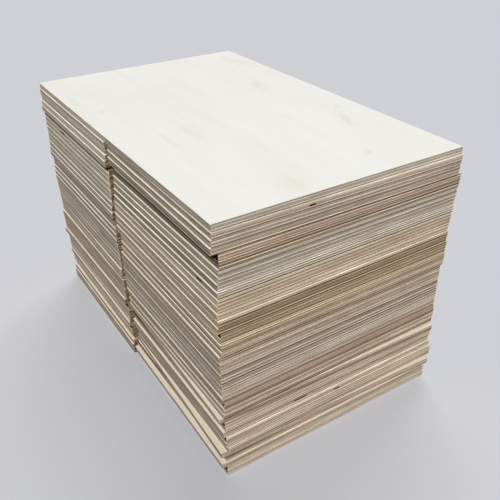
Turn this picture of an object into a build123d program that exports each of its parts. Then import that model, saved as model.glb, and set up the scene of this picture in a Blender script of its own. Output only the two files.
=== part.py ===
from build123d import *
import math
import os
from typing import NamedTuple

# A free-standing pile of thin plywood sheets, laid flat in two columns.
# The columns stand side by side along Y and meet at a seam across the pile.
# X runs across a sheet, Y along the pile, +Z is up, and the floor is Z = 0.
# The origin is on the floor, in the middle of the box that holds the pile.

# Driving dimensions, in millimetres and degrees
sheet_width = 254.0
sheet_depth = 203.2
sheet_thickness = 6.4
plies_per_sheet = 5
seam_clearance = 0.2
core_gap_depth = 5.0


class Packet(NamedTuple):
    """A few sheets that were set down together, squared up by hand."""

    sheets: int
    out: float
    fan: float
    pull: float
    twist: float


class Sheet(NamedTuple):
    """Where the middle of one sheet lies, and how far it is turned."""

    x: float
    y: float
    twist: float


class CoreGap(NamedTuple):
    """A short open gap in an inner ply, seen in the edge of a sheet."""

    layer: int
    side: int
    edge: str
    place: float
    length: float
    ply: int


# Which side of the seam a column stands on, as the sign of its Y
NEAR = -1
FAR = 1

# Packets from the floor up. out is how far the lowest sheet of the packet stands
# out to the left, fan is added for each sheet above it, pull is how far the packet
# stands off the seam, and twist turns it, anticlockwise from above.
near_packets = [
    Packet(sheets=2, out=-1.4, fan=0.2, pull=0.8, twist=0.0),
    Packet(sheets=1, out=3.6, fan=0.0, pull=1.6, twist=-0.3),
    Packet(sheets=1, out=-0.7, fan=0.0, pull=0.5, twist=0.0),
    Packet(sheets=1, out=0.6, fan=0.0, pull=0.3, twist=-1.8),
    Packet(sheets=1, out=-2.6, fan=0.0, pull=3.0, twist=0.0),
    Packet(sheets=1, out=-1.9, fan=0.0, pull=2.2, twist=-0.5),
    Packet(sheets=1, out=-1.2, fan=0.0, pull=1.9, twist=0.0),
    Packet(sheets=1, out=0.2, fan=0.0, pull=0.6, twist=0.0),
    Packet(sheets=2, out=-1.7, fan=0.6, pull=0.8, twist=0.0),
    Packet(sheets=1, out=1.7, fan=0.0, pull=0.5, twist=-1.3),
    Packet(sheets=3, out=1.1, fan=-0.4, pull=0.8, twist=0.5),
    Packet(sheets=1, out=1.6, fan=0.0, pull=0.4, twist=0.5),
    Packet(sheets=7, out=1.1, fan=0.1, pull=0.0, twist=0.5),
    Packet(sheets=2, out=0.4, fan=-0.3, pull=1.2, twist=0.5),
    Packet(sheets=2, out=-0.5, fan=-0.2, pull=0.3, twist=0.4),
    Packet(sheets=2, out=2.5, fan=-0.7, pull=1.6, twist=0.5),
    Packet(sheets=1, out=1.7, fan=0.0, pull=0.4, twist=0.4),
    Packet(sheets=3, out=0.9, fan=-0.5, pull=0.5, twist=0.4),
    Packet(sheets=4, out=-0.8, fan=-0.8, pull=0.0, twist=0.3),
    Packet(sheets=1, out=-4.2, fan=0.0, pull=0.0, twist=0.0),
    Packet(sheets=3, out=1.1, fan=-0.7, pull=0.0, twist=-0.4),
    Packet(sheets=1, out=0.0, fan=0.0, pull=0.0, twist=0.0),
]
far_packets = [
    Packet(sheets=2, out=1.7, fan=0.0, pull=8.6, twist=0.0),
    Packet(sheets=1, out=0.8, fan=0.0, pull=8.0, twist=0.1),
    Packet(sheets=1, out=-1.3, fan=0.0, pull=8.8, twist=0.0),
    Packet(sheets=2, out=-0.1, fan=0.1, pull=9.2, twist=0.1),
    Packet(sheets=1, out=1.8, fan=0.0, pull=9.0, twist=-0.15),
    Packet(sheets=4, out=0.4, fan=0.1, pull=9.4, twist=0.1),
    Packet(sheets=1, out=3.0, fan=0.0, pull=9.8, twist=0.3),
    Packet(sheets=4, out=1.4, fan=0.1, pull=9.0, twist=0.25),
    Packet(sheets=2, out=0.7, fan=0.0, pull=10.2, twist=-0.2),
    Packet(sheets=4, out=0.3, fan=0.1, pull=9.8, twist=0.15),
    Packet(sheets=1, out=0.9, fan=0.0, pull=9.0, twist=0.1),
    Packet(sheets=4, out=1.7, fan=-0.6, pull=8.4, twist=0.1),
    Packet(sheets=1, out=0.6, fan=0.0, pull=7.4, twist=0.0),
    Packet(sheets=4, out=2.3, fan=-0.6, pull=6.6, twist=0.1),
    Packet(sheets=5, out=0.6, fan=-0.1, pull=4.8, twist=0.1),
    Packet(sheets=1, out=2.6, fan=0.0, pull=2.2, twist=0.0),
    Packet(sheets=1, out=1.5, fan=0.0, pull=1.4, twist=0.0),
    Packet(sheets=2, out=0.7, fan=0.3, pull=0.8, twist=0.0),
    Packet(sheets=1, out=0.0, fan=0.0, pull=0.0, twist=0.0),
]

# Core gaps: layer counts from the floor, place is a share of the edge from its left
# end as seen from outside, and ply counts from the underside of the sheet.
core_gaps = [
    CoreGap(layer=41, side=NEAR, edge="front", place=0.35, length=5.5, ply=3),
    CoreGap(layer=33, side=NEAR, edge="left", place=0.86, length=7.0, ply=3),
    CoreGap(layer=9, side=NEAR, edge="front", place=0.33, length=14.0, ply=4),
    CoreGap(layer=8, side=NEAR, edge="front", place=0.5, length=6.0, ply=2),
    CoreGap(layer=36, side=FAR, edge="left", place=0.32, length=14.0, ply=3),
    CoreGap(layer=22, side=FAR, edge="left", place=0.85, length=52.0, ply=4),
]

ply_thickness = sheet_thickness / plies_per_sheet


def reach(twist, along, across):
    """Half the room that a turned sheet takes up, in the direction of along."""
    angle = math.radians(twist)
    return (along * math.cos(angle) + across * abs(math.sin(angle))) / 2


def stack(packets, side):
    """The sheets of one column, from the floor up, each clear of the seam."""
    sheets = []
    for packet in packets:
        for step in range(packet.sheets):
            half_depth = reach(packet.twist, sheet_depth, sheet_width)
            x = -(packet.out + step * packet.fan)
            y = side * (seam_clearance / 2 + packet.pull + half_depth)
            sheets.append(Sheet(x, y, packet.twist))
    return sheets


columns = {NEAR: stack(near_packets, NEAR), FAR: stack(far_packets, FAR)}
all_sheets = columns[NEAR] + columns[FAR]

# The middle of the pile's box, which the origin stands under
lowest_x = min(sheet.x - reach(sheet.twist, sheet_width, sheet_depth) for sheet in all_sheets)
highest_x = max(sheet.x + reach(sheet.twist, sheet_width, sheet_depth) for sheet in all_sheets)
lowest_y = min(sheet.y - reach(sheet.twist, sheet_depth, sheet_width) for sheet in all_sheets)
highest_y = max(sheet.y + reach(sheet.twist, sheet_depth, sheet_width) for sheet in all_sheets)
middle_x = (lowest_x + highest_x) / 2
middle_y = (lowest_y + highest_y) / 2


def seat(sheet, layer):
    """The middle of a sheet's underside, with the sheet's own directions."""
    place = (sheet.x - middle_x, sheet.y - middle_y, (layer - 1) * sheet_thickness)
    return Location(place, (0, 0, sheet.twist))


def edge_plane(sheet, gap):
    """A plane on the edge that a core gap opens in, facing out, centred on its ply."""
    height = (gap.ply - 0.5) * ply_thickness
    if gap.edge == "front":
        along = (gap.place - 0.5) * sheet_width
        edge = Plane((along, -sheet_depth / 2, height), x_dir=(1, 0, 0), z_dir=(0, -1, 0))
    else:
        along = (0.5 - gap.place) * sheet_depth
        edge = Plane((-sheet_width / 2, along, height), x_dir=(0, -1, 0), z_dir=(-1, 0, 0))
    return Plane(seat(sheet, gap.layer) * edge.location)


os.makedirs("parts", exist_ok=True)

# Layers: the near and the far sheet at one height, a seam apart
for layer, pair in enumerate(zip(columns[NEAR], columns[FAR]), start=1):
    with BuildPart() as layer_part:
        for sheet in pair:
            with BuildSketch(Plane(seat(sheet, layer))):
                Rectangle(sheet_width, sheet_depth)
            extrude(amount=sheet_thickness)
        for gap in core_gaps:
            if gap.layer == layer:
                with BuildSketch(edge_plane(columns[gap.side][layer - 1], gap)):
                    SlotOverall(gap.length, ply_thickness)
                extrude(amount=-core_gap_depth, mode=Mode.SUBTRACT)
    name = f"layer_{layer:02d}"
    layer_part.part.label = name
    export_step(layer_part.part, f"parts/{name}.step")

pile_height = len(columns[NEAR]) * sheet_thickness
print("layers", len(columns[NEAR]), "and", len(columns[FAR]), "sheets a column")
print("pile", round(highest_x - lowest_x, 1), round(highest_y - lowest_y, 1), round(pile_height, 1))
print("near base", [round(v, 2) for v in seat(columns[NEAR][0], 1).position])
print("far base", [round(v, 2) for v in seat(columns[FAR][0], 1).position])
print("near top", [round(v, 2) for v in seat(columns[NEAR][-1], len(columns[NEAR]) + 1).position])
print("far top", [round(v, 2) for v in seat(columns[FAR][-1], len(columns[FAR]) + 1).position])
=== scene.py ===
# %% [markdown]
# # A stack of plywood sheets
# The real thing is 84 thin birch plywood sheets in two columns, each column 42 sheets high.
# Nothing holds them but their weight, so every few sheets stand out or back a little.
# The CAD model fixes where each sheet lies. This lesson gives every sheet its own mesh, with
# five plies, sawn edges, worn corners and veneer, and then lights and frames the stack.

# %% Load the frame
import math
import random
from typing import NamedTuple

import bpy
from mathutils import Matrix, Vector, noise


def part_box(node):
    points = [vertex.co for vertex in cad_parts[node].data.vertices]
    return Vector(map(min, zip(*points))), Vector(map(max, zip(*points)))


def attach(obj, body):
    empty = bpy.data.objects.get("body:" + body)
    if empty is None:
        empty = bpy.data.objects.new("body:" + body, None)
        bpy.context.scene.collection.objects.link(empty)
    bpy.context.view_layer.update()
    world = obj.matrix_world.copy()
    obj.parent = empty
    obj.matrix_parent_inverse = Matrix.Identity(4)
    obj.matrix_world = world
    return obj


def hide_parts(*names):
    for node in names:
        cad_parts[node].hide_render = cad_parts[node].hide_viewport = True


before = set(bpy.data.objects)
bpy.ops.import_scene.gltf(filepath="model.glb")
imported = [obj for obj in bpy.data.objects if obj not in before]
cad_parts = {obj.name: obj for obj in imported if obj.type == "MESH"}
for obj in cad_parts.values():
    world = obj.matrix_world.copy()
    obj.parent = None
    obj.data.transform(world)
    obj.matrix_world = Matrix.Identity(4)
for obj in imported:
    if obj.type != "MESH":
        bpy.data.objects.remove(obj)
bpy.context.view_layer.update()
layers = sorted(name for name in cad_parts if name.startswith("layer_"))
print("layers in the frame:", len(layers), "from", layers[0], "to", layers[-1])

# %% [markdown]
# ## Where each sheet lies
# One CAD node holds one layer: a near sheet and a far sheet that do not touch. The underside
# of a layer has eight corners, four for each sheet. The near sheet's four have the smaller y.
# A point between the underside and the top can only belong to an open gap in an inner ply.

# %% Read the corners of the sheets
mm = 0.001
plies = 5
skin = 0.1 * mm


def same_place(point):
    """A point rounded to a hundredth of a millimetre, so that repeats fall together."""
    return tuple(round(c, 5) for c in point)


def corner_ring(points):
    """Four corners in order round a sheet: near left, near right, far right, far left."""
    return [
        Vector(min(points, key=lambda p: p[0] + p[1])),
        Vector(max(points, key=lambda p: p[0] - p[1])),
        Vector(max(points, key=lambda p: p[0] + p[1])),
        Vector(min(points, key=lambda p: p[0] - p[1])),
    ]


def read_layer(name):
    """The corners and the gap points of the near and the far sheet of one layer."""
    points = {same_place(v.co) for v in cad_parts[name].data.vertices}
    low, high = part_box(name)
    under = sorted((p for p in points if p[2] < low.z + skin), key=lambda p: p[1])
    seam = (under[3][1] + under[4][1]) / 2
    inner = [Vector(p) for p in points if low.z + skin < p[2] < high.z - skin]
    near_gap = [p for p in inner if p.y < seam]
    far_gap = [p for p in inner if p.y > seam]
    return {
        "near": (corner_ring(under[:4]), near_gap),
        "far": (corner_ring(under[4:]), far_gap),
    }


read = {name: read_layer(name) for name in layers}
low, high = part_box(layers[0])
sheet_thickness = high.z - low.z
ply_thickness = sheet_thickness / plies
pile_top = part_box(layers[-1])[1].z
first_ring = read[layers[0]]["near"][0]
sheet_width = (first_ring[1] - first_ring[0]).length
sheet_depth = (first_ring[3] - first_ring[0]).length
print("sheet, in mm:", [round(v / mm, 2) for v in (sheet_width, sheet_depth, sheet_thickness)])
print("sheets with an open gap:", sum(bool(g[1]) for r in read.values() for g in r.values()))

# %% [markdown]
# ## The camera
# The photograph looks down on the near left corner of the top sheet. The camera's place was
# worked out from the corners of the stack, and it is written here from that corner, so it
# follows if the sheets change. The small shift moves the picture, not the camera, which
# keeps upright edges as they are in the photograph.

# %% Place the camera
near_corner = read[layers[-1]]["near"][0][0].copy()
near_corner.z = pile_top
view_from = near_corner + Vector((-173.78, -335.64, 207.28)) * mm
looking = Vector((0.43873, 0.69366, -0.57128)).normalized()
picture_right = Vector((0.84120, -0.54062, -0.01041)).normalized()
picture_up = picture_right.cross(looking).normalized()
picture_right = looking.cross(picture_up)

camera = bpy.data.objects.new("camera", bpy.data.cameras.new("camera"))
bpy.context.scene.collection.objects.link(camera)
turn = Matrix((picture_right, picture_up, -looking)).transposed()
camera.matrix_world = Matrix.Translation(view_from) @ turn.to_4x4()
camera.data.sensor_width = 36
camera.data.lens = 44.262
camera.data.shift_x = -0.0164
camera.data.shift_y = 0.0780
camera.data.clip_start = 0.01
bpy.context.scene.camera = camera
print("camera at, in mm:", [round(v / mm) for v in view_from])

# %% [markdown]
# ## Sawn edges
# A sheet's edge is not flat. The saw wanders a little, so flush sheets still step in and out
# by a tenth or two of a millimetre. Where a ply's grain ends at the edge, it is cut back
# slightly; where it runs along the edge, the saw tears it into fuzz. The arrises, which are
# the sharp corners between a face and an edge, are eased and chipped by handling, most of all
# where the face grain runs along them.
# A modifier could roughen an edge, but it would not know the plies. So the edge is made of
# twelve rows of points, two at each glue line and two at each arris, and each point is pushed
# inward by an amount of its own. Along a row the points stand closer near the corners and
# round the ends of a gap, and far apart in the seam, where nobody sees them.

# %% The rows of points in an edge
# Heights in plies, from the underside up
rows = [0.0, 0.26, 0.9, 1.1, 1.9, 2.1, 2.9, 3.1, 3.9, 4.1, 4.74, 5.0]
sides = ["front", "right", "back", "left"]
long_sides = ("right", "left")

# Distances in mm: from a corner, into a gap from each of its ends, and between other points
from_corner = (0.0, 0.5, 1.1, 1.9, 3.0, 4.5)
from_gap_end = (-0.3, 0.3, 1.2)
keep_off = 1.0
seen_step = 2.6
seam_step = 12.0


def ply_at(height):
    """Which ply a height in plies lies in, from 0 at the underside to 4."""
    return min(int(height), plies - 1)


def middle_of(row):
    """The height in plies halfway between a row of points and the next."""
    return (rows[row] + rows[row + 1]) / 2


def grain_runs_along(side, ply):
    """True if the ply's grain runs along this edge. The face grain runs from near to far."""
    return (ply % 2 == 0) == (side in long_sides)


def clear_of(place, gaps):
    """True if a place along an edge keeps off the points at the ends of the gaps."""
    return all(
        not a - keep_off < place < b + keep_off or a + 2 * keep_off < place < b - 2 * keep_off
        for a, b in gaps
    )


def stations(length, step, gaps):
    """The places of the points along an edge, in mm from its start."""
    places = [*from_corner, *(length - distance for distance in from_corner)]
    for start, stop in gaps:
        places += [start + distance for distance in from_gap_end]
        places += [stop - distance for distance in from_gap_end]
    first = from_corner[-1]
    between = length - 2 * first
    count = round(between / step)
    regular = [first + between * i / count for i in range(1, count)]
    places += [place for place in regular if clear_of(place, gaps)]
    return sorted({round(place, 3) for place in places})


across_front = stations(sheet_width / mm, seen_step, [])
print("rows in an edge:", len(rows), "places along a front edge:", len(across_front))

# %% [markdown]
# The depth of one point is a sum of small causes, and each is written as its own line. The
# noise is smooth and fixed, so the stack is the same each time. Every cause reads it at a
# level of its own, and `character` is the sheet's own number for it, so no two sheets match.
# The two top sheets meet so tightly that no line shows between them, so their edges at the
# seam stay straight and almost touch.

# %% How far a point stands back from the edge
# Depths and lengths in mm. A chip starts where the noise passes its level.
least_depth = 0.04
wander = 0.03
ripple = 0.012
fuzz = 0.05
cut_back = 0.08
pitting = 0.03
eased_under = 0.08
chip_levels = {"under": 0.42, "top": 0.45}
top_chips = 1.6
tight_seam = -0.08
corner_radius = 0.7
corner_inset = 0.29 * corner_radius
worn_length = 5.0


def smooth(*place):
    """Smooth noise from -1 to 1 at a place in its own space."""
    return noise.noise(Vector(place))


def rounding(to_corner):
    """The depth of a rounded corner, seen square to the edge, in mm."""
    short = max(corner_radius - (to_corner + corner_inset), 0.0)
    return corner_radius - math.sqrt(corner_radius**2 - short**2)


def edge_depth(i, along, length, row, sheet):
    """How far a point of edge number i stands back from the sheet's full size, in mm."""
    side, ply = sides[i], ply_at(rows[row])
    seed = sheet["character"] + 9.7 * i
    to_corner = min(along, length - along)

    def wave(wavelength, level):
        """The noise along this edge, in waves of so many mm."""
        return smooth(along / wavelength, seed, level)

    if sheet["tight"] and side == sheet["seam_side"]:
        return tight_seam
    depth = sheet["squaring"][side] + least_depth
    depth += wander * wave(45, 0.0) + ripple * wave(5, 3.1)
    if grain_runs_along(side, ply):
        depth += fuzz * abs(wave(3, 11.0 + ply))
    else:
        depth += cut_back + pitting * abs(wave(1.5, 21.0 + ply))
    if row == 0:
        depth += eased_under + max(wave(3.5, 31.0) - chip_levels["under"], 0.0)
    if row == len(rows) - 1:
        depth += sheet["arris"][side] + top_chips * max(wave(3.5, 51.0) - chip_levels["top"], 0.0)
    depth += rounding(to_corner)
    if to_corner < worn_length:
        corner = i if along < length / 2 else (i + 1) % 4
        fade = (1 - to_corner / worn_length) ** 2
        ragged = abs(smooth(to_corner / 2, seed, 41.0 + 1.7 * ply))
        depth += sheet["wear"][corner] * fade * ragged * 2
    return depth


print("rounded corner, in mm back at the corner itself:", round(rounding(0), 2))

# %% [markdown]
# ## Open gaps in a core
# Veneer sheets in the middle of plywood are laid edge to edge, and now and then they do not
# meet. The saw then opens a short slot, whose inside is painted near black as its shade. The CAD
# model has the ones that the photograph shows. Each is read back from its own points: which edge
# it is in, where, and which ply.

# %% Find the gaps
gap_depth = 5.0


class Edge(NamedTuple):
    """One edge of a sheet: where it starts, two directions, and its length in mm."""

    start: Vector
    direction: Vector
    inward: Vector
    length: float


def edge_of(ring, i):
    """Edge number i of a sheet, which runs from corner i to the next."""
    start, stop = ring[i], ring[(i + 1) % 4]
    direction = (stop - start).normalized()
    inward = Vector((-direction.y, direction.x, 0))
    return Edge(start, direction, inward, (stop - start).length / mm)


def gap_in(ring, points):
    """The side, start, stop and ply of a gap, or None."""
    if not points:
        return None
    found = []
    for i, side in enumerate(sides):
        edge = edge_of(ring, i)
        depths = [abs((p - edge.start).dot(edge.inward)) for p in points]
        places = [(p - edge.start).dot(edge.direction) / mm for p in points]
        found.append((max(depths), side, min(places), max(places)))
    side, first, last = min(found)[1:]
    height = sum(p.z for p in points) / len(points) - ring[0].z
    return {"side": side, "start": first, "stop": last, "ply": int(height / ply_thickness)}


for name in layers:
    for column, (ring, points) in read[name].items():
        if points:
            print(name, column, gap_in(ring, points))

# %% [markdown]
# ## The colours of the plies
# On the long sides the two outer plies show pale long grain, and the two cross plies show
# dark end grain with the middle ply between them. On the short sides it is the other way
# round. Batches differ in tint and in how strong the contrast between their plies is, though
# on the short sides it is never weak. The long sides are greyer than the short ones, a painted
# cool cast of the light, and a side that hides in the seam is painted darker and browner as shade.

# %% Ply colours
batch_tints = {
    "white": (238, 231, 221),
    "grey": (234, 224, 212),
    "stone": (234, 218, 203),
    "straw": (237, 218, 194),
    "tan": (234, 212, 193),
    "brown": (230, 206, 179),
    "rosy": (240, 221, 203),
}
# A painted cool cast of the light on the long sides
cool_light_tint = (233, 224, 216)
# Pale worn wood at the top of an edge, with a painted highlight
worn_and_highlight_tint = (240, 231, 216)
# Darker and browner in the seam: painted shade
seam_shade_tint = (197, 174, 143)
# Near black inside an open gap: painted shade in the slot
gap_painted_shade = (46, 36, 27)
batch_share, cool_light_share = 0.35, 0.65


def linear(red, green, blue):
    """A colour as a screen shows it, 0 to 255, turned into the values that light uses."""
    def one(value):
        share = value / 255
        return share / 12.92 if share <= 0.04045 else ((share + 0.055) / 1.055) ** 2.4
    return (one(red), one(green), one(blue), 1.0)


def side_tint(side, batch_tint, seam_side):
    """The tint of one side: painted shade in the seam, a painted cool cast on the long sides, else
    the batch's own.
    """
    if side == seam_side:
        return linear(*seam_shade_tint)
    if side in long_sides:
        pairs = zip(batch_tint, cool_light_tint)
        return linear(*(a * batch_share + b * cool_light_share for a, b in pairs))
    return linear(*batch_tint)


painted_shade_in_gap = linear(*gap_painted_shade)
print("tints to choose from:", ", ".join(batch_tints))

# %% [markdown]
# Each band between two rows of points has one colour. It starts from the shade of its ply and
# is changed by what happened there. A strong glue line is dark. Under an overhang the edge is
# darker, painted shade, most of all on the long sides. The top band of a long side is paler, its
# pale fibres with a painted highlight, and so is a strip under an arris that is worn back by more
# than half a millimetre: pale worn wood with a painted highlight.

# %% The colour of a band
# Shades of the five plies, from the underside up
ply_shades = {
    "long": (1.18, 0.39, 0.64, 0.37, 1.30),
    "short": (0.43, 1.06, 0.62, 1.02, 0.48),
}
# How dark the painted shade under an overhang gets on each kind of side
overhang_painted_shade = {"long": 0.975, "short": 0.3}
# How much paler the top of a long side is: pale fibres with a painted highlight
worn_and_highlight_level = 1.25
worn_arris, broad_arris = 0.5, 0.8
glue_reach = 0.15
darkest, lightest = 0.02, 0.94
green_loss, blue_loss = 0.08, 0.2

# Painted shade under an overhang, in mm. It reaches further down under a wider one, and then
# fades.
least_overhang = 0.9
reach_for_each = 1.7
reach_beyond = 1.5
fade_length = 2.5


def kind_of(side):
    """The word under which a side's values are kept."""
    return "long" if side in long_sides else "short"


def painted_shade_share(middle, set_back):
    """How much painted shade a height in plies gets, given how far each sheet above juts out."""
    most = 0.0
    for sheets_above, back in enumerate(set_back, start=1):
        below = (sheets_above - middle / plies) * sheet_thickness / mm
        if back > least_overhang:
            shade = (reach_for_each * back + reach_beyond - below) / fade_length
            most = max(most, min(shade, 1.0))
    return most


def worn_and_highlight_from(arris):
    """The height in plies above which an edge is painted pale: worn wood with a painted highlight.
    It is lower for a broad arris.
    """
    if arris > broad_arris:
        return 4.3
    return 4.8 if arris > worn_arris else plies


def band_colour(side, row, sheet):
    """The colour of an edge between a row and the next. The darker it is, the browner."""
    middle = middle_of(row)
    ply = ply_at(middle)
    contrast = sheet["contrast"] if side in long_sides else max(sheet["contrast"], 1.0)
    shade = 1 + (ply_shades[kind_of(side)][ply] - 1) * contrast
    level = shade * sheet["luck"][side][ply] * sheet["levels"][side]
    # Painted shade under an overhang, strongest on the long sides
    level *= 1 - overhang_painted_shade[kind_of(side)] * painted_shade_share(middle, sheet["set_back"][side])
    line = round(middle)
    if abs(middle - line) < glue_reach and line < plies:
        level *= 1 - sheet["glue"][side][line]
    # The top band of a long side is paler: pale fibres with a painted highlight
    if row == len(rows) - 2 and side in long_sides:
        level *= worn_and_highlight_level
    tint = sheet["tints"][side]
    # Above this height an edge is pale worn wood with a painted highlight
    if middle > worn_and_highlight_from(sheet["arris"][side]):
        tint, level = linear(*worn_and_highlight_tint), worn_and_highlight_level
    red, green, blue, alpha = tint
    level = min(max(level, darkest), lightest / red)
    browner = min(level, 1.0)
    return (
        red * level,
        green * level * browner**green_loss,
        blue * level * browner**blue_loss,
        alpha,
    )


print("height in plies where a broad worn strip starts:", worn_and_highlight_from(1.0))

# %% [markdown]
# ## One sheet
# A sheet starts as rings of points, one ring for each row, that go round it from the near left
# corner. Each side is pushed in by its own depths, and it is squeezed a little between its
# neighbours, so the corners stay closed. Plies are not all equally thick, so each sheet has
# its glue lines at heights of its own.


# %% The rings of points
def level_of(height, sheet):
    """The height above the underside, in metres, of a nominal height in plies."""
    lower = ply_at(height)
    lines = sheet["glue_lines"]
    return (lines[lower] + (height - lower) * (lines[lower + 1] - lines[lower])) * ply_thickness


def edge_row(i, row, edges, places, sheet):
    """One row of points along edge number i. Each comes with whether it lies in a gap."""
    edge, before, after = edges[i], edges[(i - 1) % 4], edges[(i + 1) % 4]
    head = edge_depth((i - 1) % 4, before.length, before.length, row, sheet)
    tail = edge_depth((i + 1) % 4, 0.0, after.length, row, sheet)
    gap = sheet["gap"]
    gap_row = bool(gap) and gap["side"] == sides[i] and gap["ply"] == ply_at(rows[row])
    points = []
    for along in places[i]:
        in_gap = gap_row and gap["start"] < along < gap["stop"]
        depth = gap_depth if in_gap else edge_depth(i, along, edge.length, row, sheet)
        squeezed = head + along * (edge.length - head - tail) / edge.length
        point = edge.start + edge.direction * squeezed * mm + edge.inward * depth * mm
        point.z = edges[0].start.z + level_of(rows[row], sheet)
        points.append((point, in_gap))
    return points


def ring_points(ring, sheet):
    """The rings of points of a sheet, from the underside up, and each point's side."""
    edges = [edge_of(ring, i) for i in range(4)]
    gap = sheet["gap"]
    places = []
    for side, edge in zip(sides, edges):
        gaps = [(gap["start"], gap["stop"])] if gap and gap["side"] == side else []
        step = seam_step if side == sheet["seam_side"] else seen_step
        places.append(stations(edge.length, step, gaps)[:-1])
    rings = [
        [point for i in range(4) for point in edge_row(i, row, edges, places, sheet)]
        for row in range(len(rows))
    ]
    return rings, [side for i, side in enumerate(sides) for _ in places[i]]


print("rings of points round a sheet:", len(rows))

# %% [markdown]
# Now the rings become a mesh: a band of faces between each two rows, and one face each for
# the top and the underside. The shader needs to know two things that a mesh can carry as
# attributes: whether the grain runs along the edge there, and the colour of the ply.
# Attributes are better than pictures here, because they stay sharp at any distance. The
# underside is darker than the top, painted shade.

# %% Build a sheet
# The underside is darker than the top: painted shade
underside_painted_shade = (0.55, 0.48, 0.40, 1.0)


def make_sheet(name, ring, sheet):
    """The mesh of one sheet, with its attributes."""
    rings, point_sides = ring_points(ring, sheet)
    count = len(point_sides)
    faces, grain, colours = [], [], []
    for row in range(len(rows) - 1):
        ply = ply_at(middle_of(row))
        shown = {side: band_colour(side, row, sheet) for side in sides}
        for at, side in enumerate(point_sides):
            after = (at + 1) % count
            corners = [(row, at), (row, after), (row + 1, after), (row + 1, at)]
            faces.append(tuple(r * count + a for r, a in corners))
            grain.append(1.0 if grain_runs_along(side, ply) else 0.0)
            in_gap = any(rings[r][a][1] for r, a in corners)
            # Faces inside a gap get the painted shade
            colours.append(painted_shade_in_gap if in_gap else shown[side])
    edge_faces = len(faces)
    faces.append(tuple(range(count - 1, -1, -1)))
    faces.append(tuple(range((len(rows) - 1) * count, len(rows) * count)))
    grain += [1.0, 1.0]
    colours += [underside_painted_shade, sheet["wash"]]
    mesh = bpy.data.meshes.new(name)
    mesh.from_pydata([point for level in rings for point, in_gap in level], [], faces)
    along = mesh.attributes.new("grain_along", "FLOAT", "FACE")
    along.data.foreach_set("value", grain)
    colour = mesh.attributes.new("ply_colour", "FLOAT_COLOR", "FACE")
    colour.data.foreach_set("color", [channel for one in colours for channel in one])
    mesh.polygons.foreach_set("material_index", [0] * edge_faces + [1, 1])
    mesh.validate()
    piece = bpy.data.objects.new(name, mesh)
    bpy.context.scene.collection.objects.link(piece)
    return piece


print("a sheet has", len(rows) - 1, "bands of faces round its edge")

# %% [markdown]
# ## Shader maths in plain Python
# A node tree that is typed as arithmetic is easier to read than one that is drawn. `Wire`
# wraps an output socket. Adding, subtracting or multiplying wires makes the Math nodes, and
# numbers may stand on either side. Everything else is made by `Finish.node`, which sets a
# node's own settings first and then fills or links its sockets.


# %% Wires and finishes
class Wire:
    """The output of a node, which can be used in sums."""

    def __init__(self, finish, socket):
        self.finish = finish
        self.socket = socket

    def __add__(self, other):
        return self.finish.maths("ADD", self, other)

    def __sub__(self, other):
        return self.finish.maths("SUBTRACT", self, other)

    def __rsub__(self, other):
        return self.finish.maths("SUBTRACT", other, self)

    def __mul__(self, other):
        return self.finish.maths("MULTIPLY", self, other)

    __radd__ = __add__
    __rmul__ = __mul__


class Finish:
    """A material, or the world, that is being built."""

    def __init__(self, owner):
        self.owner = owner
        owner.use_nodes = True
        self.tree = owner.node_tree
        self.tree.nodes.clear()

    def node(self, kind, settings=None, sockets=None, out=0):
        """A node with its settings, then its sockets' values or links. Gives one output."""
        made = self.tree.nodes.new(kind)
        for key, value in (settings or {}).items():
            setattr(made, key, value)
        for key, value in (sockets or {}).items():
            if isinstance(value, Wire):
                self.tree.links.new(value.socket, made.inputs[key])
            else:
                made.inputs[key].default_value = value
        return Wire(self, made.outputs[out]) if made.outputs else None

    def maths(self, operation, first, second):
        """A sum of two numbers."""
        return self.node("ShaderNodeMath", {"operation": operation}, {0: first, 1: second})

    def vector(self, operation, first, second):
        """A sum of two places, worked out for x, y and z alike."""
        settings = {"operation": operation}
        return self.node("ShaderNodeVectorMath", settings, {0: first, 1: second})

    def attribute(self, name, out):
        """What the mesh carries under this name."""
        return self.node("ShaderNodeAttribute", {"attribute_name": name}, out=out)

    def stretched(self, place, by):
        """The same place, measured with other scales, so that noise becomes streaks."""
        return self.vector("MULTIPLY", place, by)

    def noise(self, place, detail=2.0, rough=0.5):
        """Cloudy noise from 0 to 1, most of it near the middle."""
        sockets = {"Vector": place, "Scale": 1.0, "Detail": detail, "Roughness": rough}
        return self.node("ShaderNodeTexNoise", None, sockets, "Fac")

    def ramp(self, value, start, stop):
        """0 below start, 1 above stop, and smooth between."""
        settings = {"interpolation_type": "SMOOTHSTEP"}
        return self.node("ShaderNodeMapRange", settings, {0: value, 1: start, 2: stop})

    def mix(self, share, first, second, blend="MIX"):
        """The first colour where the share is 0, the second where it is 1."""
        settings = {"data_type": "RGBA", "blend_type": blend}
        return self.node("ShaderNodeMix", settings, {0: share, 6: first, 7: second}, 2)

    def multiply(self, first, second):
        """Two colours multiplied, so that the second tints the first."""
        return self.mix(1.0, first, second, "MULTIPLY")

    def bump(self, strength, distance, relief):
        """Relief too fine for the mesh. The distance is its height in metres."""
        sockets = {"Strength": strength, "Distance": distance, "Height": relief}
        return self.node("ShaderNodeBump", None, sockets)

    def surface(self, kind, sockets):
        """The shader that ends the tree, and its link to the output."""
        output = "World" if isinstance(self.owner, bpy.types.World) else "Material"
        shader = self.node(kind, None, sockets)
        self.node(f"ShaderNodeOutput{output}", None, {"Surface": shader})


print("a finish is started with the material or the world that it belongs to")

# %% [markdown]
# ## The veneer of the faces
# Rotary-cut birch is pale cream with a soft, flowing figure along the grain, fine pores, and
# now and then a yellow or grey mineral streak. It has hardly any contrast, so each effect
# below moves the colour by a few steps only. The figure comes from noise that is stretched
# along y, and z is part of its place, so every sheet has a figure of its own. The place sways
# from side to side before the noise is read, so the figure flows.

# %% Mineral streaks
sway_reach = 0.030


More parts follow.
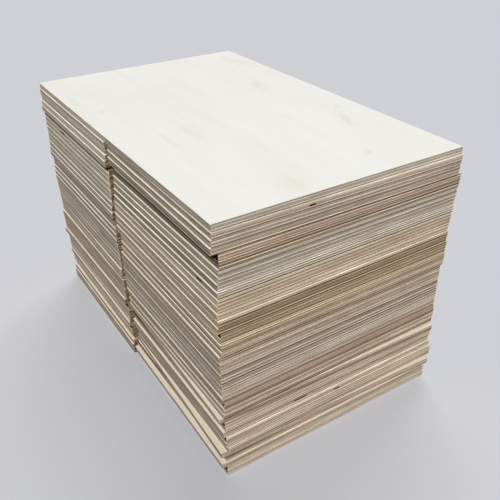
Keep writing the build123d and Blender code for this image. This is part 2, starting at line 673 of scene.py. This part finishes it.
def mineral_streak(finish, bent, figure, streak):
    """Where one streak lies: 1 in its middle, 0 outside, and broken up by the figure."""
    x, y, wide, long, slant = streak
    centre = (x * mm + sway_reach / 2, y * mm, 0.0)
    offset = finish.vector("SUBTRACT", bent, centre)
    across = finish.node("ShaderNodeSeparateXYZ", None, {0: offset}, "X")
    down = finish.node("ShaderNodeSeparateXYZ", None, {0: offset}, "Y")
    across = across - down * slant
    shares = {0: across * (1 / (wide * mm)), 1: down * (1 / (long * mm))}
    flat = finish.node("ShaderNodeCombineXYZ", None, shares)
    far_from = finish.node("ShaderNodeVectorMath", {"operation": "LENGTH"}, {0: flat}, "Value")
    return (1 - finish.ramp(far_from, 0.0, 1.0)) * finish.ramp(figure, 0.2, 0.65)


# For each streak of the top: x, y, half width and half length in mm, and its slant
top_streaks = [
    (-47.0, -42.0, 13.0, 46.0, 0.05),
    (-78.0, -48.0, 9.0, 40.0, -0.04),
    (-37.0, -180.0, 17.0, 26.0, 0.0),
    (104.0, 150.0, 15.0, 50.0, -0.2),
    (72.0, 45.0, 13.0, 38.0, 0.3),
    (84.0, -92.0, 8.0, 34.0, 0.35),
    (38.0, -50.0, 3.0, 14.0, 0.0),
    (104.0, -57.0, 9.0, 6.0, 0.9),
    (43.0, -168.0, 8.0, 7.0, 0.5),
    (-100.0, 64.0, 7.0, 12.0, 0.6),
]
print("mineral streaks in the top:", len(top_streaks))

# %% [markdown]
# The layers of colour go on one after another, from the broad figure down to the pores, and
# the streaks come last. The wash of the sheet, which the mesh carries, tints the whole.

# %% Make the veneer
pale_birch = linear(242, 241, 236)
figured_birch = linear(239, 238, 231)
patch_tint = linear(237, 234, 223)
fibre_tint = linear(228, 224, 212)
pore_tint = linear(204, 194, 174)
mineral_tint = linear(226, 221, 198)


def make_veneer(name, streaks):
    """A veneer face, with the streaks that are given."""
    finish = Finish(bpy.data.materials.new(name))
    place = finish.node("ShaderNodeTexCoord", out="Object")
    sway = finish.noise(finish.stretched(place, (9.0, 4.0, 160.0)), 1.0)
    shift = finish.node("ShaderNodeCombineXYZ", None, {0: sway * sway_reach})
    bent = finish.vector("ADD", place, shift)
    figure = finish.noise(finish.stretched(bent, (95.0, 7.0, 160.0)), 3.0)
    patches = finish.noise(finish.stretched(place, (16.0, 7.0, 160.0)), 2.0)
    fibre = finish.noise(finish.stretched(bent, (1900.0, 45.0, 160.0)), 2.0)
    pores = finish.noise(finish.stretched(bent, (2600.0, 420.0, 160.0)), 1.0)

    colour = finish.mix(finish.ramp(figure, 0.34, 0.72), pale_birch, figured_birch)
    colour = finish.mix(finish.ramp(patches, 0.4, 0.75) * 0.5, colour, patch_tint)
    colour = finish.mix(finish.ramp(fibre, 0.5, 0.8) * 0.12, colour, fibre_tint)
    colour = finish.mix(finish.ramp(pores, 0.66, 0.76) * 0.18, colour, pore_tint)
    for streak in streaks:
        share = mineral_streak(finish, bent, figure, streak) * 0.6
        colour = finish.mix(share, colour, mineral_tint)
    colour = finish.multiply(colour, finish.attribute("ply_colour", "Color"))

    rough = 0.62 - finish.ramp(figure, 0.3, 0.8) * 0.1 + fibre * 0.06
    bump = finish.bump(0.25, 0.1 * mm, fibre * 0.6 + pores * -0.5)
    sockets = {"Base Color": colour, "Roughness": rough, "Normal": bump, "IOR": 1.45}
    finish.surface("ShaderNodeBsdfPrincipled", sockets)
    return finish.owner


face_veneer = make_veneer("birch_face", [])
top_veneer = make_veneer("birch_top", top_streaks)
print("nodes in the top veneer:", len(top_veneer.node_tree.nodes))

# %% [markdown]
# ## The sawn edge
# Each ply shows its long grain or its end grain. Long grain is pale, with streaks along the
# edge. End grain is darker, because the open pores swallow light, and it is speckled. The saw
# leaves fine upright scratches. All the sheets share one finish, and the attributes say what
# to draw where.

# %% Make the sawn edge
# Each pair multiplies the colour: the first where the noise is low, the second where it is high
long_grain_tints = (1.08, 1.08, 1.08, 1.0), (0.86, 0.84, 0.80, 1.0)
end_grain_tints = (1.15, 1.15, 1.15, 1.0), (0.72, 0.68, 0.62, 1.0)
drift_tints = (1.14, 1.14, 1.12, 1.0), (0.80, 0.77, 0.72, 1.0)
stain_tint = linear(140, 118, 92)
scratch_tint = linear(120, 100, 80)


def make_sawn_edge(name):
    """The finish of the cut edges."""
    finish = Finish(bpy.data.materials.new(name))
    place = finish.node("ShaderNodeTexCoord", out="Object")
    along = finish.attribute("grain_along", "Fac")
    own_colour = finish.attribute("ply_colour", "Color")

    long_streaks = finish.noise(finish.stretched(place, (22.0, 22.0, 900.0)), 3.0, 0.6)
    streaks = finish.noise(finish.stretched(place, (90.0, 90.0, 2600.0)), 3.0, 0.6)
    speckle = finish.noise(finish.stretched(place, (1900.0, 1900.0, 2600.0)), 2.0, 0.6)
    scratches = finish.noise(finish.stretched(place, (1500.0, 1500.0, 90.0)), 2.0)
    stains = finish.noise(finish.stretched(place, (18.0, 18.0, 310.0)), 3.0)

    long_grain = finish.mix(finish.ramp(streaks, 0.3, 0.7), *long_grain_tints)
    end_grain = finish.mix(finish.ramp(speckle, 0.35, 0.7), *end_grain_tints)
    colour = finish.multiply(own_colour, finish.mix(along, end_grain, long_grain))
    drift = finish.mix(finish.ramp(long_streaks, 0.3, 0.7), *drift_tints)
    colour = finish.multiply(colour, drift)
    colour = finish.mix(finish.ramp(stains, 0.55, 0.8) * 0.30, colour, stain_tint)
    colour = finish.mix(finish.ramp(scratches, 0.5, 0.75) * 0.15, colour, scratch_tint)

    bump = finish.bump(0.35, 0.2 * mm, finish.mix(along, speckle, streaks))
    sockets = {"Base Color": colour, "Roughness": 0.78, "Specular IOR Level": 0.15, "Normal": bump}
    finish.surface("ShaderNodeBsdfPrincipled", sockets)
    return finish.owner


sawn_edge = make_sawn_edge("sawn_edge")
print("nodes in the sawn edge:", len(sawn_edge.node_tree.nodes))

# %% [markdown]
# ## The batches
# The sheets came from several batches. The two lists go down from the top of each column: how
# many sheets, which tint, how strong the contrast between their plies is, and how light
# their long and their short sides are. Sides that hide in the seam are darker than these, painted
# shade.

# %% The batches, from the top down
near_batches = [
    (1, "grey", 0.9, 1.14, 1.17),
    (2, "stone", 1.0, 1.28, 1.0),
    (1, "stone", 1.2, 1.1, 1.02),
    # The long sides of these two sheets are darker: painted shade in the hollow under the sheet
    # above
    (2, "tan", 0.9, 0.55, 0.95),
    (2, "grey", 1.0, 1.15, 1.2),
    (2, "grey", 1.2, 1.1, 1.2),
    (3, "straw", 0.95, 1.15, 1.12),
    (2, "brown", 0.75, 1.0, 0.86),
    (3, "brown", 0.8, 1.0, 0.95),
    (3, "tan", 0.45, 0.71, 1.05),
    (5, "stone", 1.10, 1.43, 1.12),
    (5, "tan", 0.45, 0.82, 0.84),
    (7, "rosy", 0.85, 0.98, 1.0),
    (4, "rosy", 0.6, 0.93, 1.1),
]
far_batches = [
    (1, "white", 0.7, 1.12, 1.0),
    (2, "white", 0.9, 1.35, 1.0),
    (2, "white", 0.8, 1.25, 1.0),
    (1, "grey", 0.65, 0.62, 1.0),
    (4, "grey", 0.65, 1.07, 1.0),
    (4, "white", 1.0, 1.17, 1.0),
    (4, "grey", 0.9, 0.88, 1.0),
    (4, "grey", 0.9, 1.2, 1.0),
    (4, "stone", 0.5, 0.89, 1.0),
    (5, "tan", 0.4, 0.68, 0.9),
    (7, "tan", 0.5, 0.87, 1.0),
    (4, "straw", 0.9, 0.98, 1.0),
]
# How light the sides in the seam are: painted shade
seam_shade_level = 0.6


def batch_list(batches):
    """The tint, contrast and two levels of each sheet, from the top of the column down."""
    return [batch for count, *batch in batches for _ in range(count)]


batches = {"near": batch_list(near_batches), "far": batch_list(far_batches)}
print("sheets in the lists:", len(batches["near"]), "and", len(batches["far"]))

# %% [markdown]
# Within a batch no two sheets are alike. Dice with a fixed seed give each ply its own luck and
# each glue line its own darkness. The short sides differ more than the long ones, and what
# hides in the seam differs most. A sheet with an open gap keeps even plies, so that the slot
# stays in its ply, but its dice are thrown all the same: otherwise the luck of every later
# sheet would change with it.

# %% Luck and glue
dice = random.Random(42)
luck_spread = {"long": 0.11, "short": 0.3, "seam": 0.5}
odd_ply_chance = 0.6
odd_ply_levels = (0.5, 0.62, 0.75, 1.3)
strong_glue_chance = {"long": 0.2, "short": 0.5, "seam": 0.5}
strong_glue, weak_glue = (0.5, 0.85), (0.0, 0.3)
usual_lines = (0.76, 1.95, 3.05, 4.24)
line_spread = 0.09


def luck(kind):
    """How much lighter or darker each ply is than its batch. Often one stands out."""
    spread = luck_spread[kind]
    levels = [1 + dice.uniform(-spread, spread) for _ in range(plies)]
    if dice.random() < odd_ply_chance:
        levels[dice.choice(range(plies - 1))] *= dice.choice(odd_ply_levels)
    return levels


def one_glue_line(kind):
    """How dark one glue line is."""
    strong = dice.random() < strong_glue_chance[kind]
    return dice.uniform(*(strong_glue if strong else weak_glue))


def glue(kind):
    """How dark the joint below a sheet and each of its glue lines is. Some are strong."""
    return [one_glue_line(kind) for _ in range(plies)]


def glue_lines(gap):
    """The heights of the glue lines in plies. The outer plies are sanded thin."""
    inner = [line + dice.uniform(-line_spread, line_spread) for line in usual_lines]
    return list(range(plies + 1)) if gap else [0, *inner, plies]


print("usual heights of the glue lines, in plies:", usual_lines)

# %% [markdown]
# Some of the near sheets have a front arris that is worn back further than the dice would set
# it. They are listed by their number from the top, with how far back it stands in
# millimetres. Under some sheets the joint at the front is dark, and so is the ply above it.

# %% Worn arrises and dark joints
eased = {"long": (0.25, 0.47), "short": (0.03, 0.25)}
worn_fronts = {
    2: 1.1, 10: 0.65, 11: 0.9, 13: 0.9, 14: 1.1, 19: 0.7, 21: 0.9, 22: 0.6, 26: 0.9,
    30: 0.9, 31: 0.6, 32: 0.9, 33: 0.6, 34: 0.45, 35: 0.9, 37: 0.7, 40: 0.6, 42: 0.9,
}
dark_joints = (10, 12, 15, 19, 22, 26, 30)
dark_ply, dark_glue = 0.45, 0.85

# These strips are pale worn wood with a painted highlight
worn_highlight_strips = sum(depth > worn_arris for depth in worn_fronts.values())
print("near sheets with a pale worn strip at the front:", worn_highlight_strips)

# %% [markdown]
# An edge gets painted shade under an overhang, so each edge has to know how far it lies behind the
# sheets above it. The CAD corners tell that, measured square to the edge at its middle.

# %% Measure the overhangs
sheets_that_shade = 3


def ring_of(from_top, column):
    """The corners of a sheet that is counted from the top of its column, from 0."""
    return read[layers[-1 - from_top]][column][0]


def edge_middle(ring, i):
    """The middle of edge number i."""
    return (ring[i] + ring[(i + 1) % 4]) / 2


def set_back(from_top, column, i):
    """How far edge number i lies behind each of the sheets just above it, in mm."""
    ring = ring_of(from_top, column)
    inward = edge_of(ring, i).inward
    back = []
    for step in range(1, min(from_top, sheets_that_shade) + 1):
        above = ring_of(from_top - step, column)
        back.append((edge_middle(ring, i) - edge_middle(above, i)).dot(inward) / mm)
    return back


print("fifth near sheet, left side, in mm:", [round(b, 1) for b in set_back(4, "near", 3)])

# %% [markdown]
# ## The facts of one sheet
# Everything that sets a sheet apart is gathered in one place before its mesh is made. The dice
# are thrown in the order of the lines below. The wash is the tint of the sheet's upper face:
# faces that lie open lower down have aged to warmer creams than the top. Corners at the seam
# are worn more than the others, because sheets are pushed together there.

# %% Describe a sheet
seam_sides = {"near": "back", "far": "front"}
seam_corners = {"near": (2, 3), "far": (0, 1)}
noise_room = 400
most_out_of_square = 0.25
seam_wear, outer_wear = (0.3, 1.6), (0.1, 0.5)

# The washes of the top sheets, of those from the second down, and of those from the 26th down
washes = [(1.0, 1.0, 1.0, 1.0), (1.0, 0.96, 0.88, 1.0), (0.93, 0.85, 0.73, 1.0)]
wash_starts = (1, 25)


def describe(from_top, column, gap):
    """The facts of one sheet, which is counted from the top of its column, from 0."""
    tint_name, contrast, long_level, short_level = batches[column][from_top]
    seam_side = seam_sides[column]
    kinds = {side: kind_of(side) for side in sides}
    kinds[seam_side] = "seam"
    levels = {"long": long_level, "short": short_level, "seam": seam_shade_level}
    wears = [seam_wear if c in seam_corners[column] else outer_wear for c in range(4)]
    arris = {side: dice.uniform(*eased[kind_of(side)]) for side in sides}
    sheet = {
        "seam_side": seam_side,
        "tight": from_top == 0,
        "character": dice.uniform(0, noise_room),
        "squaring": {side: dice.uniform(0.0, most_out_of_square) for side in sides},
        "wear": [dice.uniform(*wear) for wear in wears],
        "gap": gap,
        "tints": {side: side_tint(side, batch_tints[tint_name], seam_side) for side in sides},
        "contrast": contrast,
        "luck": {side: luck(kinds[side]) for side in sides},
        "glue": {side: glue(kinds[side]) for side in sides},
        "levels": {side: levels[kinds[side]] for side in sides},
        "glue_lines": glue_lines(gap),
        "arris": arris,
        "set_back": {side: set_back(from_top, column, i) for i, side in enumerate(sides)},
        "wash": washes[sum(from_top >= start for start in wash_starts)],
    }
    number = from_top + 1
    if column == "near" and number in worn_fronts:
        sheet["arris"]["front"] = worn_fronts[number]
    if column == "near" and number in dark_joints:
        sheet["luck"]["front"][0] = dark_ply
        sheet["glue"]["front"][0] = dark_glue
    return sheet


print("washes of the upper faces:", len(washes))

# %% [markdown]
# ## The whole stack
# Now every sheet is laid, from the top down. It rides on the one body of the stack, and the
# near and the far sheet together stand for their CAD layer.

# %% Lay the sheets
triangles = 0
for from_top, layer in enumerate(reversed(layers)):
    for column in ("near", "far"):
        ring, gap_points = read[layer][column]
        sheet = describe(from_top, column, gap_in(ring, gap_points))
        number = len(layers) - from_top
        piece = make_sheet(f"{column}_sheet_{number:02d}", ring, sheet)
        piece.data.materials.append(sawn_edge)
        piece.data.materials.append(top_veneer if from_top == 0 else face_veneer)
        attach(piece, "root")
        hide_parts(layer)
        piece.data.calc_loop_triangles()
        triangles += len(piece.data.loop_triangles)
print("sheets laid:", 2 * len(layers), "triangles:", triangles)

# %% [markdown]
# ## Floor
# A plain pale floor takes the shadow. What the camera sees of it is pale, but it gives little
# light back, so that the hollows under the overhangs stay dark. It lies a hair below the
# lowest sheets, so that the two do not share a plane.

# %% Lay the floor
backdrop = linear(206, 207, 212)
dim = (0.12, 0.12, 0.12, 1.0)
reach = 6.0
pale_floor = Finish(bpy.data.materials.new("pale_floor"))
seen = pale_floor.node("ShaderNodeLightPath", out="Is Camera Ray")
pale_floor.surface("ShaderNodeBsdfDiffuse", {"Color": pale_floor.mix(seen, dim, backdrop)})

floor_mesh = bpy.data.meshes.new("floor")
floor_corners = [(-reach, -reach, 0), (reach, -reach, 0), (reach, reach, 0), (-reach, reach, 0)]
floor_mesh.from_pydata(floor_corners, [], [(0, 1, 2, 3)])
floor = bpy.data.objects.new("floor", floor_mesh)
floor.location.z = -0.2 * mm
floor.data.materials.append(pale_floor.owner)
bpy.context.scene.collection.objects.link(floor)
print("floor, in m:", 2 * reach, "square")

# %% [markdown]
# ## Light
# Sunlight through a wide skylight would light the stack much as the photograph shows: from
# above and in front, soft, and even over the whole top. A distant lamp with a wide angle does
# that. A weaker one stands behind, so the back is not black, and the sky adds a little from
# everywhere. The levels are set so that a level face shows its colour as it is written.

# %% Light the stack
sky_level = 0.08
front_share = 0.66
back_share = 0.27
world = bpy.data.worlds.new("studio")
bpy.context.scene.world = world
studio = Finish(world)
seen = studio.node("ShaderNodeLightPath", out="Is Camera Ray")
sky_colour = studio.mix(seen, (sky_level, sky_level, sky_level, 1.0), backdrop)
studio.surface("ShaderNodeBackground", {"Color": sky_colour, "Strength": 1.0})


def far_lamp(name, azimuth, elevation, spread, share):
    """A distant lamp. Its share of the light on a level face is given, 1 being all of it."""
    lamp = bpy.data.objects.new(name, bpy.data.lights.new(name, "SUN"))
    lamp.data.angle = math.radians(spread)
    lamp.data.energy = share * math.pi / math.sin(math.radians(elevation))
    around, up = math.radians(azimuth), math.radians(elevation)
    level = math.cos(up)
    towards = Vector((math.cos(around) * level, math.sin(around) * level, math.sin(up)))
    lamp.rotation_euler = towards.to_track_quat("Z", "Y").to_euler()
    bpy.context.scene.collection.objects.link(lamp)


far_lamp("front", azimuth=234.0, elevation=42.0, spread=14.0, share=front_share)
far_lamp("back", azimuth=48.0, elevation=52.0, spread=40.0, share=back_share)
bpy.context.scene.view_settings.view_transform = "Standard"
print("light on a level face:", round(sky_level + front_share + back_share, 2))
